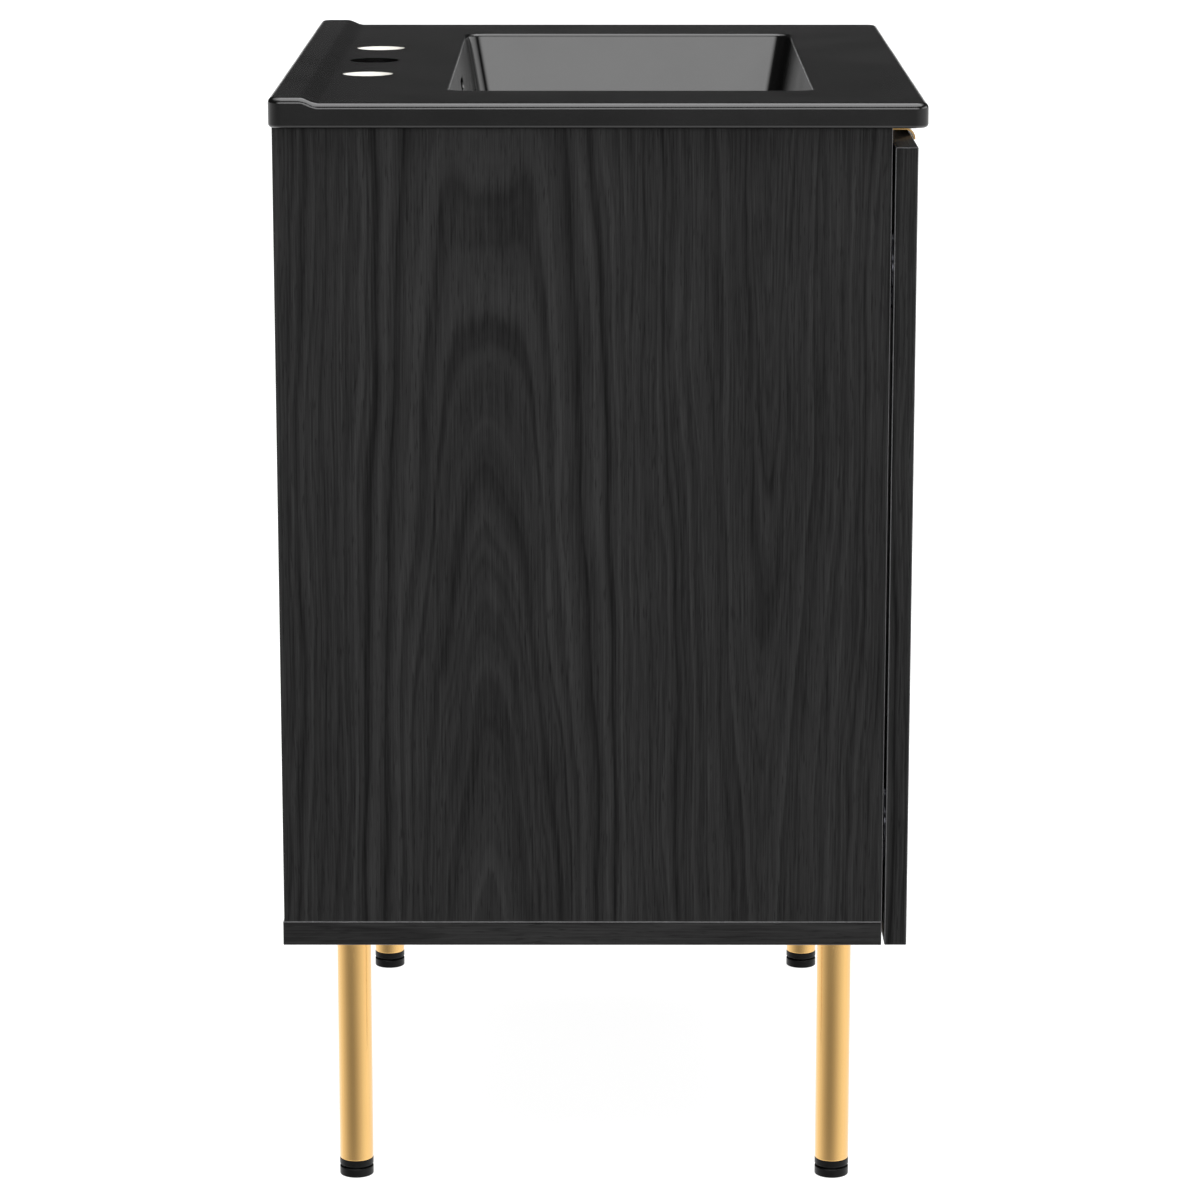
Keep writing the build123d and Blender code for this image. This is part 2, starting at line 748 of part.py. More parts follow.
save("sink_top", sink_top())
save_pair("side_panel", side_panel())
save("bottom_board", bottom_board())
for rail_name in rail_bottom_of:
    save(rail_name, rail(rail_name))
save("sealant_beads", sealant_beads())

save_pair("door", door())
save_pair("edge_pull", edge_pull())
save_pair("pull_screws", group(pull_screws(0)))
save_pair("door_bumpers", door_bumpers())

for level, height in hinge_heights.items():
    for name, piece in (("hinge_plate", hinge_plate(height)), ("hinge_arm", hinge_arm(height)),
                        ("hinge_link", hinge_link(height)), ("hinge_cup", hinge_cup(height))):
        save_pair(f"{name}_{level}", piece)
levels = list(hinge_heights.values())
save_pair("hinge_cup_pins", group(cup_pin(z, 0) for z in levels))
save_pair("hinge_cup_screws", group(s for z in levels for s in cup_screws(z, 0)))
arm_pins = [arm_pin(z, 0) for z in levels]
save("hinge_arm_pins", group(arm_pins + [mirrored(p) for p in arm_pins]))
arm_screws = [arm_screw(z, 0) for z in levels]
save("hinge_arm_screws", group(arm_screws + [mirrored(s) for s in arm_screws]))
side_screws = [s for z in levels for s in plate_screws(z, 0)]
save("hinge_plate_screws", group(side_screws + [mirrored(s) for s in side_screws]))

for place, (x, y) in leg_places.items():
    save(f"leg_tube_{place}", leg_tube(x, y))
    save(f"leg_collar_{place}", leg_collar(x, y))
    save(f"levelling_foot_{place}", levelling_foot(x, y))
save("leg_top_plugs", group(leg_top_plug(x, y) for x, y in leg_places.values()))
save("leg_bolts", group(leg_bolt(x, y, 0) for x, y in leg_places.values()))
save("leg_tee_nuts", group(bored_tee_nut(x, y) for x, y in leg_places.values()))

dowels = [left_rail_fasteners(n, 0)[0] for n in rail_bottom_of] + left_bottom_dowels(0)
save("dowels", group(dowels + [mirrored(d) for d in dowels]))
cam_bolts = [left_rail_fasteners(n, 0)[1] for n in rail_bottom_of]
save("cam_bolts", group(cam_bolts + [mirrored(b) for b in cam_bolts]))
cams = [slotted_cam(n) for n in rail_bottom_of]
save("cam_discs", group(cams + [mirrored(c) for c in cams]))
screws = left_assembly_screws(0)
save("assembly_screws", group(screws + [mirrored(s) for s in screws]))
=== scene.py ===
"""Bathroom vanity: a black glazed sink top on a black wood-grain cabinet with brass-coloured legs.

Everything is in metres in the frame of the CAD model: +Z up, the doors face -Y, the left side
faces -X. Names in capitals that end in _MM are millimetres.
"""

import json
import math

import bmesh
import bpy
import numpy as np
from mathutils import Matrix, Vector

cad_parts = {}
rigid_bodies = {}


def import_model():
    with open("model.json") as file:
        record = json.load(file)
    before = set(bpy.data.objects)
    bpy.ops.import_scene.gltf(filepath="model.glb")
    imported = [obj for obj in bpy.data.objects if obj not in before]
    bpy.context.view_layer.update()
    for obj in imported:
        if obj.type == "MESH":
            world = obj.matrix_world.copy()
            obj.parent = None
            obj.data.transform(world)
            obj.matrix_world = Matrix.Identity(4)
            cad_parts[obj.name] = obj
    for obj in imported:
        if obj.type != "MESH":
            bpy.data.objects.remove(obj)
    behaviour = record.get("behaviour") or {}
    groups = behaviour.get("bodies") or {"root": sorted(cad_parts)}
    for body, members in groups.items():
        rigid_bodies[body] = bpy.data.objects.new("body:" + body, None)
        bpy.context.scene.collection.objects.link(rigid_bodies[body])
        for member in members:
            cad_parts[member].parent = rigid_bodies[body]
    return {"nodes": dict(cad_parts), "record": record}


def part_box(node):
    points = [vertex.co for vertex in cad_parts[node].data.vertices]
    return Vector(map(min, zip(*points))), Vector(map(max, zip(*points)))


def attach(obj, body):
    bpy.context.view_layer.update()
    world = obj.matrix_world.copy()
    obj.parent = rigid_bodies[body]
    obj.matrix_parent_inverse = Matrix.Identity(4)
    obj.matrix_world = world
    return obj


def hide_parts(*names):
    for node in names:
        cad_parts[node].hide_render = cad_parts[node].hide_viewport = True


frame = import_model()
NODES = frame["nodes"]
MOUNTS = {mount["name"]: mount for mount in frame["record"]["mounts"]}
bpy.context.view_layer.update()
MM = 0.001
SIDES = ("left", "right")

# Legs: 25.4 mm tube with a 1.5 mm wall, its ends rounded outside and just deburred inside.
TUBE_RADIUS_MM = 12.7
TUBE_WALL_MM = 1.5
TUBE_OUTER_EDGE_MM = 0.9
TUBE_INNER_EDGE_MM = 0.3

# Studio: the floor's reach and glow, then the camera and the softbox, in metres and degrees.
FLOOR_REACH = 30.0
FLOOR_GLOW = 0.92
CAMERA_PLACE = (-3.453, -0.004, 1.1535)
CAMERA_DOWN = 12.54
CAMERA_ASIDE = 0.05
LENS_MM = 133.0
SENSOR_MM = 36.0
FAR_CLIP = 200.0
SOFTBOX_PLACE = (-0.4, -0.3, 3.2)
SOFTBOX_TARGET = (0, 0, 0.5)
SOFTBOX_SIDE = 3.0
SOFTBOX_WATTS = 95


# ---- helpers for nodes and colours ---------------------------------------------------------

# Inputs of a Mix node: its factor, its two numbers and its two colours.
FACTOR, NUMBER_A, NUMBER_B, COLOUR_A, COLOUR_B = 0, 2, 3, 6, 7

# A MapRange list reads value, from, from, to, to. A MULTIPLY_ADD list reads value, times, plus.


def srgb(text):
    """A hex colour such as "#c8a050", turned from sRGB to linear, with alpha 1."""
    parts = [int(text[i : i + 2], 16) / 255 for i in (1, 3, 5)]
    return [c / 12.92 if c <= 0.04045 else ((c + 0.055) / 1.055) ** 2.4 for c in parts] + [1.0]


def output_of(value):
    """The first output that a node has in use. Anything but a node is given back as it is."""
    if isinstance(value, bpy.types.Node):
        return next(socket for socket in value.outputs if socket.enabled)
    return value


def add(tree, kind, inputs=(), **settings):
    """Adds a node with its settings. Each input is a value, a node or a socket."""
    node = tree.nodes.new("ShaderNode" + kind)
    for key, value in settings.items():
        setattr(node, key, value)
    for key, value in inputs.items() if isinstance(inputs, dict) else enumerate(inputs):
        value = output_of(value)
        if isinstance(value, bpy.types.NodeSocket):
            tree.links.new(value, node.inputs[key])
        else:
            node.inputs[key].default_value = value
    return node


def material(name, viewport, **sockets):
    """An empty material with a Principled surface and those constant sockets, and its nodes."""
    made = bpy.data.materials.new(name)
    made.use_nodes = True
    made.diffuse_color = srgb(viewport)
    tree = made.node_tree
    tree.nodes.clear()
    constants = {key.replace("_", " "): value for key, value in sockets.items()}
    surface = add(tree, "BsdfPrincipled", constants)
    add(tree, "OutputMaterial", [surface])
    place = add(tree, "TexCoord").outputs["Object"]
    return made, tree, surface, place


def dress(tree, surface, colour, roughness=None, relief=None, strength=0.0, depth=0.0):
    """Links a colour, a roughness and a relief, with its depth in millimetres, to a surface."""
    tree.links.new(output_of(colour), surface.inputs["Base Color"])
    if roughness:
        tree.links.new(output_of(roughness), surface.inputs["Roughness"])
    if relief:
        sockets = {"Height": relief, "Strength": strength, "Distance": depth * MM}
        tree.links.new(output_of(add(tree, "Bump", sockets)), surface.inputs["Normal"])


def stretched(tree, place, size, detail=2.0, rough=0.55, seed=0.0):
    """Noise from 0 to 1 whose grains measure size (x, y, z) in millimetres. The seed moves it."""
    moved = {
        "Vector": place,
        "Location": (seed, seed * 0.7, seed * 1.3),
        "Scale": [1 / (MM * s) for s in size],
    }
    scaled = add(tree, "Mapping", moved)
    sockets = {"Vector": scaled, "Scale": 1.0, "Detail": detail, "Roughness": rough}
    return add(tree, "TexNoise", sockets)


# ---- materials -----------------------------------------------------------------------------

# Vitreous china under a black glaze, slip cast, dipped and fired. The glaze is glassy, with faint
# cloudy changes of gloss, a few pale specks and an orange peel about a centimetre across. The two
# outer tap holes are punched out after glazing, so their walls show the bare off-white body.


def black_glazed_china():
    made, tree, surface, place = material(
        "black_glazed_vitreous_china", "#141415", IOR=1.52, Specular_IOR_Level=0.4
    )
    peel = stretched(tree, place, (14, 14, 14), 1.0)
    haze = stretched(tree, place, (60, 60, 60), 3.0)
    specks = stretched(tree, place, (1.6, 1.6, 1.6), 1.0)
    speck = add(tree, "MapRange", [specks, 0.66, 0.74, 0.0, 0.35])
    clouds = {FACTOR: haze, COLOUR_A: srgb("#060606"), COLOUR_B: srgb("#0c0c0c")}
    glaze = add(tree, "Mix", clouds, data_type="RGBA")
    dotted = {FACTOR: speck, COLOUR_A: glaze, COLOUR_B: srgb("#1b1b1b")}
    glaze = add(tree, "Mix", dotted, data_type="RGBA")

    # Bare where a point lies within 0.3 mm of an outer tap hole's wall and 0.6 mm under the deck.
    tap = MOUNTS["faucet_hole_right"]
    tap_x, tap_y, tap_z = tap["pos_m"]
    deck = tap_z + tap["dims"]["length_mm"] / 2 * MM
    axes = add(tree, "SeparateXYZ", [place])
    mirrored = add(tree, "Math", [axes.outputs["X"]], operation="ABSOLUTE")
    aside = add(tree, "Math", [mirrored, tap_x], operation="SUBTRACT")
    back = add(tree, "Math", [axes.outputs["Y"], tap_y], operation="SUBTRACT")
    away = add(tree, "VectorMath", [add(tree, "CombineXYZ", [aside, back])], operation="LENGTH")
    ring = add(tree, "Math", [away, (tap["dims"]["r_mm"] + 0.3) * MM], operation="LESS_THAN")
    low = add(tree, "Math", [axes.outputs["Z"], deck - 0.6 * MM], operation="LESS_THAN")
    bare = add(tree, "Math", [ring, low], operation="MULTIPLY")
    mottle = stretched(tree, place, (3, 3, 3), 3.0)
    body = {FACTOR: mottle, COLOUR_A: srgb("#f4f2ee"), COLOUR_B: srgb("#e6e2da")}
    body = add(tree, "Mix", body, data_type="RGBA")

    both = {FACTOR: bare, COLOUR_A: glaze, COLOUR_B: body}
    colour = add(tree, "Mix", both, data_type="RGBA")
    gloss = add(tree, "MapRange", [haze, 0.3, 0.7, 0.12, 0.18])
    rough = add(tree, "Mix", {FACTOR: bare, NUMBER_A: gloss, NUMBER_B: 0.75})
    dress(tree, surface, colour, rough, peel, 0.12, 0.15)
    return made


# Particle board under a black melamine foil pressed with an open-pore ash grain. The print is
# nearly black on black: long fibres and pores, with growth rings that rise in pointed arches where
# the board is cut flat. The darker grain is duller, and it and the pores sit a little lower.


def woodgrain_foil(name, across, along, arches=(), seed=0.0):
    """Grain runs along one axis. Each arch is its centre across in mm and its way up, +1 or -1.

    Growth rings are nested cones. Cut flat, ring = sqrt(d^2 + core^2) + taper * height * fade, with
    d the distance from the pith line and fade = spread / sqrt(d^2 + spread^2), so the arches are
    pointed at the pith and the grain runs straight away from it. A second figure counts its rings
    backwards from the first, so the two join without a seam.
    """
    core, spread, taper, join_reach, band = 10.0, 26.0, 0.085, 40.0, 7.5
    made, tree, surface, place = material(name, "#2a2a2a", IOR=1.48, Specular_IOR_Level=0.07)
    axes = add(tree, "SeparateXYZ", [place])
    u, v = axes.outputs[across], axes.outputs[along]
    fibre_size = [70.0 if axis == along else 1.2 for axis in "XYZ"]
    pore_size = [14.0 if axis == along else 1.1 for axis in "XYZ"]
    wander_size = [240.0 if axis == along else 42.0 for axis in "XYZ"]
    fibre = stretched(tree, place, fibre_size, 4.0, 0.65, seed)
    pore = stretched(tree, place, pore_size, 1.0, 0.5, seed + 3)
    wander = stretched(tree, place, wander_size, 2.0, 0.5, seed + 7)

    # The pith line wanders by 13 mm to each side.
    centred = add(tree, "Math", [u, 13 * MM], operation="SUBTRACT")
    bend = add(tree, "Math", [wander, 26 * MM, centred], operation="MULTIPLY_ADD")
    rings = bend
    for count, (centre, way) in enumerate(arches):
        off = add(tree, "Math", [bend, centre * MM], operation="SUBTRACT")
        near, wide = [
            add(tree, "Math", [off, off, (size * MM) ** 2], operation="MULTIPLY_ADD")
            for size in (core, spread)
        ]
        near = add(tree, "Math", [near, 0.5], operation="POWER")
        wide = add(tree, "Math", [wide, 0.5], operation="POWER")
        fade = add(tree, "Math", [spread * MM, wide], operation="DIVIDE")
        lift = add(tree, "Math", [v, way * taper], operation="MULTIPLY")
        cone = add(tree, "Math", [lift, fade, near], operation="MULTIPLY_ADD")
        if count == 0:
            rings = cone
            continue
        before = arches[count - 1][0]
        middle = (centre + before) / 2
        reach = [(middle - join_reach) * MM, (middle + join_reach) * MM]
        join = add(tree, "MapRange", [u, *reach, 0.0, 1.0], interpolation_type="SMOOTHSTEP")
        backwards = add(tree, "Math", [(centre - before) * MM, cone], operation="SUBTRACT")
        rings = add(tree, "Mix", {FACTOR: join, NUMBER_A: rings, NUMBER_B: backwards})

    jitter = add(tree, "Math", [fibre, 0.9 * MM, rings], operation="MULTIPLY_ADD")
    counted = add(tree, "Math", [jitter, 1 / (band * MM)], operation="MULTIPLY")
    sockets = {"W": counted, "Scale": 1.0, "Detail": 3.5, "Roughness": 0.6}
    bands = add(tree, "TexNoise", sockets, noise_dimensions="1D")
    figure = add(tree, "Math", [bands, 0.44], operation="MULTIPLY")
    figure = add(tree, "Math", [fibre, 0.46, figure], operation="MULTIPLY_ADD")
    figure = add(tree, "Math", [wander, 0.10, figure], operation="MULTIPLY_ADD")
    tone = add(tree, "MapRange", [figure, 0.36, 0.64, 0.0, 1.0])
    pit = add(tree, "MapRange", [pore, 0.60, 0.74, 0.0, 0.6])

    ground = {FACTOR: tone, COLOUR_A: srgb("#272727"), COLOUR_B: srgb("#060606")}
    ground = add(tree, "Mix", ground, data_type="RGBA")
    pitted = {FACTOR: pit, COLOUR_A: ground, COLOUR_B: srgb("#070707")}
    colour = add(tree, "Mix", pitted, data_type="RGBA")
    rough = add(tree, "MapRange", [tone, 0.0, 1.0, 0.38, 0.52])
    sunk = add(tree, "Math", [tone, -0.5], operation="MULTIPLY")
    height = add(tree, "Math", [pit, -0.8, sunk], operation="MULTIPLY_ADD")
    dress(tree, surface, colour, rough, height, 0.5, 0.12)
    return made


# The arris of each board: smoother than the foil and painted a much lighter grey, a painted
# highlight that draws a fine pale line where the rounded edge would catch the overhead light.


def painted_highlight_arris():
    made, tree, surface, place = material(
        "buffed_black_arris", "#4a4a4b", IOR=1.48, Specular_IOR_Level=0.5
    )
    highlight_patches = stretched(tree, place, (14, 14, 14), 3.0)
    # Painted highlight: both greys are far lighter than the foil and stand in for light caught on
    # the edge.
    colour = {FACTOR: highlight_patches, COLOUR_A: srgb("#5d5d5e"), COLOUR_B: srgb("#39393a")}
    colour = add(tree, "Mix", colour, data_type="RGBA")
    rough = add(tree, "MapRange", [highlight_patches, 0.3, 0.7, 0.22, 0.38])
    dress(tree, surface, colour, rough)
    return made


# Raw particle board, sawn and left unbanded at the rails' ends, which butt against the side panels:
# pale brown chips about 2 mm across, rough and dull.


def particle_board():
    made, tree, surface, place = material(
        "raw_particle_board", "#b08f63", Specular_IOR_Level=0.3, Roughness=0.85
    )
    chips = add(tree, "TexVoronoi", {"Vector": place, "Scale": 1 / (2.2 * MM)})
    colour = {FACTOR: chips.outputs["Color"], COLOUR_A: srgb("#caa878"), COLOUR_B: srgb("#8a6a42")}
    colour = add(tree, "Mix", colour, data_type="RGBA")
    dress(tree, surface, colour, None, chips.outputs["Distance"], 0.6, 0.3)
    return made


# Steel, satin brushed and vapour coated in a brass colour under a clear lacquer. The brush lines
# run along the piece and only faintly show. The lacquer adds a second highlight of its own.


def satin_brass(name, along):
    made, tree, surface, place = material(
        name, "#c9a05f", Metallic=1.0, Coat_Weight=0.5, Coat_Roughness=0.2
    )
    brush = stretched(tree, place, [160.0 if axis == along else 0.7 for axis in "XYZ"], 1.0)
    cloud = stretched(tree, place, (22, 22, 55), 2.0, 0.5, 5.0)
    shade = {FACTOR: cloud, COLOUR_A: srgb("#e6ba74"), COLOUR_B: srgb("#e1b46e")}
    shade = add(tree, "Mix", shade, data_type="RGBA")
    lines = add(tree, "MapRange", [brush, 0.35, 0.75, 0.0, 0.12])
    colour = {FACTOR: lines, COLOUR_A: shade, COLOUR_B: srgb("#cfa565")}
    colour = add(tree, "Mix", colour, data_type="RGBA")
    rough = add(tree, "MapRange", [brush, 0.2, 0.8, 0.16, 0.21])
    dress(tree, surface, colour, rough, brush, 0.03, 0.02)
    return made


# Injection-moulded nylon, black: a fine spark-eroded texture, with a sheen that varies with it.


def moulded_nylon():
    made, tree, surface, place = material(
        "black_moulded_nylon", "#121212", IOR=1.5, Specular_IOR_Level=0.14
    )
    grit = stretched(tree, place, (0.6, 0.6, 0.6), 2.0)
    flow = stretched(tree, place, (9, 9, 3), 2.0, 0.5, 2.0)
    colour = {FACTOR: flow, COLOUR_A: srgb("#050505"), COLOUR_B: srgb("#0c0c0c")}
    colour = add(tree, "Mix", colour, data_type="RGBA")
    rough = add(tree, "MapRange", [grit, 0.25, 0.75, 0.28, 0.42])
    dress(tree, surface, colour, rough, grit, 0.25, 0.06)
    return made


# Pressed or turned steel with an electroplated coat: dark smoky nickel on the hinges, bluish zinc
# on the bolts and screws.


def plated_steel(name, light, dark, smoothest, roughest, grain):
    """The coat clouds between two colours and two roughnesses. The grain is in millimetres."""
    made, tree, surface, place = material(name, light, Metallic=1.0)
    cloud = stretched(tree, place, (grain * 6, grain * 6, grain * 6), 3.0)
    fine = stretched(tree, place, (grain, grain, grain), 2.0, 0.6, 4.0)
    colour = {FACTOR: cloud, COLOUR_A: srgb(light), COLOUR_B: srgb(dark)}
    colour = add(tree, "Mix", colour, data_type="RGBA")
    rough = add(tree, "MapRange", [cloud, 0.3, 0.7, smoothest, roughest])
    dress(tree, surface, colour, rough, fine, 0.15, 0.04)
    return made


# Turned beech dowel, dry and unfinished: pale pinkish brown with short darker flecks along it.


def beech():
    made, tree, surface, place = material(
        "turned_beech", "#d2ab7c", Specular_IOR_Level=0.35, Roughness=0.7
    )
    fleck = stretched(tree, place, (4.0, 0.6, 0.6), 3.0)
    colour = {FACTOR: fleck, COLOUR_A: srgb("#dcb88c"), COLOUR_B: srgb("#b98a5b")}
    colour = add(tree, "Mix", colour, data_type="RGBA")
    dress(tree, surface, colour, None, fleck, 0.3, 0.1)
    return made


# Cast polyurethane bumper: clear, slightly milky, soft gloss.


def clear_polyurethane():
    made, tree, surface, place = material(
        "clear_cast_polyurethane", "#dfe3e2", IOR=1.49, Transmission_Weight=0.85
    )
    milk = stretched(tree, place, (3, 3, 3), 2.0)
    colour = {FACTOR: milk, COLOUR_A: srgb("#f2f5f4"), COLOUR_B: srgb("#dfe5e2")}
    colour = add(tree, "Mix", colour, data_type="RGBA")
    rough = add(tree, "MapRange", [milk, 0.3, 0.7, 0.18, 0.3])
    dress(tree, surface, colour, rough)
    return made


# Cured silicone, dark grey: drawn by hand, so its gloss is uneven and its skin slightly rippled.


def cured_silicone():
    made, tree, surface, place = material("cured_silicone_bead", "#54565a", IOR=1.41)
    ripple = stretched(tree, place, (7, 7, 3), 2.0)
    colour = {FACTOR: ripple, COLOUR_A: srgb("#3f4043"), COLOUR_B: srgb("#55575b")}
    colour = add(tree, "Mix", colour, data_type="RGBA")
    rough = add(tree, "MapRange", [ripple, 0.3, 0.7, 0.25, 0.42])
    dress(tree, surface, colour, rough, ripple, 0.4, 0.4)
    return made


GLAZE = black_glazed_china()
SIDE_FOIL = woodgrain_foil("black_foil_side_upright_grain", "Y", "Z", [(-121, -1), (80, 1)])
LEFT_DOOR_FOIL = woodgrain_foil(
    "black_foil_left_door_upright_grain", "X", "Z", [(-226, 1), (-70, -1)], 11.0
)
RIGHT_DOOR_FOIL = woodgrain_foil(
    "black_foil_right_door_upright_grain", "X", "Z", [(62, -1), (214, 1)], 23.0
)
FLAT_FOIL = woodgrain_foil("black_foil_flat_grain_across", "Y", "X", [(-40, 1)], 31.0)
RAIL_FOIL = woodgrain_foil("black_foil_rail_grain_across", "Z", "X", [], 37.0)
BAND_UP = woodgrain_foil("black_edge_band_upright", "Y", "Z", [], 41.0)
BAND_BACK = woodgrain_foil("black_edge_band_front_to_back", "X", "Y", [], 43.0)
BAND_ACROSS = woodgrain_foil("black_edge_band_across", "Z", "X", [], 47.0)
RAW = particle_board()
HIGHLIGHT_ARRIS = painted_highlight_arris()
BRASS_TUBE = satin_brass("satin_brass_coated_tube", "Z")
BRASS_PULL = satin_brass("satin_brass_coated_pull", "X")
NYLON = moulded_nylon()
ZINC = plated_steel("zinc_plated_steel", "#c3c8cf", "#a9b0b8", 0.28, 0.45, 1.2)
NICKEL = plated_steel("black_nickel_plated_pressed_steel", "#45454a", "#38383c", 0.16, 0.30, 1.8)
BEECH = beech()
BUMPER = clear_polyurethane()
SILICONE = cured_silicone()


# ---- pieces --------------------------------------------------------------------------------


def body_of(node):
    """The body that a CAD node rides on."""
    return NODES[node].parent.name.split(":", 1)[1]


def finish_piece(mesh, node):
    """A piece of this mesh that stands for a CAD node, on the node's body; the node is hidden."""
    piece = bpy.data.objects.new(node + "_shell", mesh)
    bpy.context.scene.collection.objects.link(piece)
    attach(piece, body_of(node))
    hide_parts(node)
    return piece


def merged(node, materials, pick=None, smooth=35.0):
    """The node's own mesh with its loose triangles merged, smooth over rounds and sharp at edges.

    pick(normals) gives each face's material as a whole array of indices into materials. Edges
    sharper than smooth, in degrees, stay sharp. Flat areas are dissolved into larger faces first,
    so that thin triangles don't tilt the weighted normals.
    """
    mesh = NODES[node].data.copy()
    mesh.name = node + "_surface"
    work = bmesh.new()
    work.from_mesh(mesh)
    bmesh.ops.remove_doubles(work, verts=work.verts, dist=0.002 * MM)
    flat = math.radians(0.3)
    bmesh.ops.dissolve_limit(work, angle_limit=flat, verts=work.verts, edges=work.edges)
    work.to_mesh(mesh)
    work.free()
    mesh.materials.clear()
    for each in materials:
        mesh.materials.append(each)
    count = len(mesh.polygons)
    if pick:
        normals = np.zeros(count * 3)
        mesh.polygons.foreach_get("normal", normals)
        chosen = pick(normals.reshape(-1, 3))
        mesh.polygons.foreach_set("material_index", chosen.astype(np.int32))
    mesh.polygons.foreach_set("use_smooth", np.ones(count, bool))
    mesh.set_sharp_from_angle(angle=math.radians(smooth))
    weighted = finish_piece(mesh, node).modifiers.new("weighted", "WEIGHTED_NORMAL")
    weighted.keep_sharp = True
    weighted.weight = 80


def rounded(centre, radius, start, stop, steps=6):
    """Points on an arc about centre, from start to stop degrees: (radius, height) pairs in mm."""
    a = np.radians(np.linspace(start, stop, steps))
    return [(centre[0] + radius * math.cos(t), centre[1] + radius * math.sin(t)) for t in a]


def turned_tube(node, look, around=96):
    """An upright tube with rounded ends, a surface of revolution about the node's own axis.

    Point (i, j) is (cx + r_i cos a_j, cy + r_i sin a_j, z_i), a_j = 2 pi j / around. The profile is
    a closed ring that runs up the outside and down the inside, so the faces point outwards.
    """
    low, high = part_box(node)
    cx, cy = (low.x + high.x) / 2, (low.y + high.y) / 2
    foot, head = low.z / MM, high.z / MM
    outer = TUBE_RADIUS_MM - TUBE_OUTER_EDGE_MM
    inner = TUBE_RADIUS_MM - TUBE_WALL_MM + TUBE_INNER_EDGE_MM
    profile = rounded((outer, foot + TUBE_OUTER_EDGE_MM), TUBE_OUTER_EDGE_MM, -90, 0)
    profile += rounded((outer, head - TUBE_OUTER_EDGE_MM), TUBE_OUTER_EDGE_MM, 0, 90)
    profile += rounded((inner, head - TUBE_INNER_EDGE_MM), TUBE_INNER_EDGE_MM, 90, 180)
    profile += rounded((inner, foot + TUBE_INNER_EDGE_MM), TUBE_INNER_EDGE_MM, 180, 270)
    profile = np.array(profile) * MM
    rows = len(profile)
    angle = np.linspace(0, 2 * math.pi, around, endpoint=False)
    radius = np.repeat(profile[:, :1], around, 1)
    height = np.repeat(profile[:, 1:], around, 1)
    points = [cx + radius * np.cos(angle), cy + radius * np.sin(angle), height]
    points = np.stack(points, -1).reshape(-1, 3)
    i, j = np.arange(rows)[:, None], np.arange(around)[None, :]
    here, up, after = i * around, (i + 1) % rows * around, (j + 1) % around
    faces = np.stack([here + j, here + after, up + after, up + j], -1).reshape(-1, 4)
    mesh = bpy.data.meshes.new(node + "_turned")
    mesh.from_pydata(points.tolist(), [], faces.tolist())
    mesh.materials.append(look)
    mesh.polygons.foreach_set("use_smooth", np.ones(len(mesh.polygons), bool))
    mesh.set_sharp_from_angle(angle=math.radians(40))
    finish_piece(mesh, node)


def paint(names, look):
    """Gives carried CAD nodes their finish. Their meshes stay as they are."""
    for name in names:
        NODES[name].data.materials.clear()
        NODES[name].data.materials.append(look)


def board(node, materials, thin, long):
    """A board. The materials are its face, its long edges, its ends and its arrises, in that order.

    thin and long are the axes, 0 to 2, that its thickness and its length follow.
    """

    def pick(normals):
        size = np.abs(normals)
        chosen = np.where(size[:, thin] > 0.7, 0, 1)
        chosen = np.where(size[:, long] > 0.7, 2, chosen)
        return np.where(size.max(1) < 0.97, 3, chosen)

    merged(node, materials, pick)


X, Y, Z = 0, 1, 2

# Sink top
merged("sink_top", [GLAZE], smooth=40.0)

# Boards: face foil on the broad sides, edge bands whose grain follows each edge, a painted
# highlight on the arrises
for side in SIDES:
    board("side_panel_" + side, [SIDE_FOIL, BAND_UP, BAND_BACK, HIGHLIGHT_ARRIS], X, Z)
board("door_left", [LEFT_DOOR_FOIL, BAND_UP, BAND_ACROSS, HIGHLIGHT_ARRIS], Y, Z)
board("door_right", [RIGHT_DOOR_FOIL, BAND_UP, BAND_ACROSS, HIGHLIGHT_ARRIS], Y, Z)
board("bottom_board", [FLAT_FOIL, BAND_ACROSS, BAND_BACK, HIGHLIGHT_ARRIS], Z, X)
for rail in ("back_rail_upper", "back_rail_lower", "front_rail"):
    board(rail, [RAIL_FOIL, BAND_ACROSS, RAW, HIGHLIGHT_ARRIS], Y, X)

# Legs
for end in ("front", "back"):
    for side in SIDES:
        turned_tube(f"leg_tube_{end}_{side}", BRASS_TUBE)

# Fittings and fasteners
paint([n for n in NODES if n.startswith(("leg_collar", "leg_top_plugs", "levelling_foot"))], NYLON)
paint([n for n in NODES if n.startswith("hinge_")], NICKEL)
paint(["leg_bolts", "leg_tee_nuts", "cam_bolts", "cam_discs", "assembly_screws"], ZINC)
paint(["pull_screws_left", "pull_screws_right"], ZINC)
paint(["dowels"], BEECH)
paint(["door_bumpers_left", "door_bumpers_right"], BUMPER)
paint(["sealant_beads"], SILICONE)

# Pulls
for side in SIDES:
    merged("edge_pull_" + side, [BRASS_PULL], smooth=40.0)


# ---- floor, light and camera ----------------------------------------------------------------


def studio_floor():
    """A flat square at the height of the feet. It glows softly and doesn't show in the gloss."""
    reach = FLOOR_REACH
    mesh = bpy.data.meshes.new("studio_floor")
    corners = [(-reach, -reach, 0), (reach, -reach, 0), (reach, reach, 0), (-reach, reach, 0)]
    mesh.from_pydata(corners, [], [(0, 1, 2, 3)])
    glow = {"Emission_Color": (1, 1, 1, 1), "Emission_Strength": FLOOR_GLOW}
    made, tree, surface, place = material(
        "painted_studio_floor", "#ffffff", Roughness=0.9, Specular_IOR_Level=0.0, **glow
    )
    patch = stretched(tree, place, (900, 900, 900), 2.0)
    colour = {FACTOR: patch, COLOUR_A: srgb("#8d8d8d"), COLOUR_B: srgb("#868686")}
    dress(tree, surface, add(tree, "Mix", colour, data_type="RGBA"))
    mesh.materials.append(made)
    floor = bpy.data.objects.new("studio_floor", mesh)
    floor.visible_glossy = False
    bpy.context.scene.collection.objects.link(floor)


